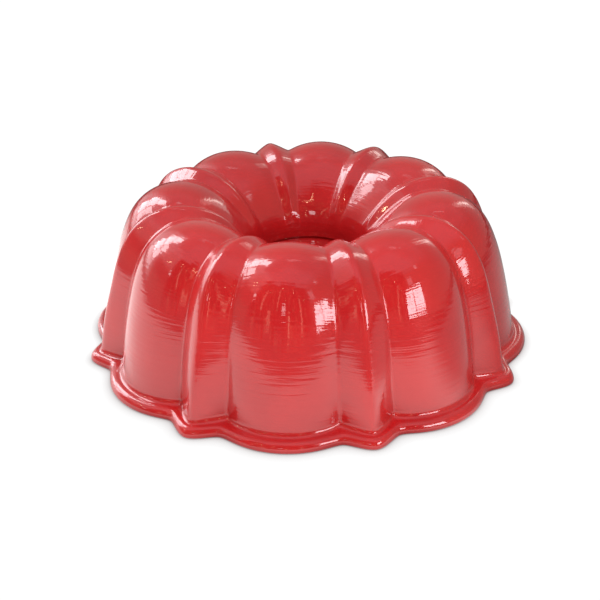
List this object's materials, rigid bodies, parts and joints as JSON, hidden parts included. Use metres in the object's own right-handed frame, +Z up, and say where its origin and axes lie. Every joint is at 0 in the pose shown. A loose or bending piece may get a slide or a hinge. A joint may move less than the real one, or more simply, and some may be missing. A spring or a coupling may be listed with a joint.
{
  "type": "bundt pan",
  "caption": "Fluted ring cake pan standing upside down: lobed sheet-metal ring with pointed ridges between the lobes, a scalloped rolled rim with pointed tabs, and an open conical centre tube.",
  "frame": {"origin": "middle of the rim's resting plane, on the pan's axis, with the pan upside down", "axes": "+Z up along the pan's axis, from the rim to the crown; +X through the middle of one pointed ridge and the rim tab below it"},
  "size_m": [0.262, 0.262, 0.0894],
  "materials": {
    "red_enamel": "gloss",
    "nonstick_grey": "satin"
  },
  "bodies": {
    "root": {"body_shell": "red_enamel", "body_lining": "nonstick_grey", "centre_tube": "red_enamel", "tube_lining": "nonstick_grey"}
  },
  "joints": []
}
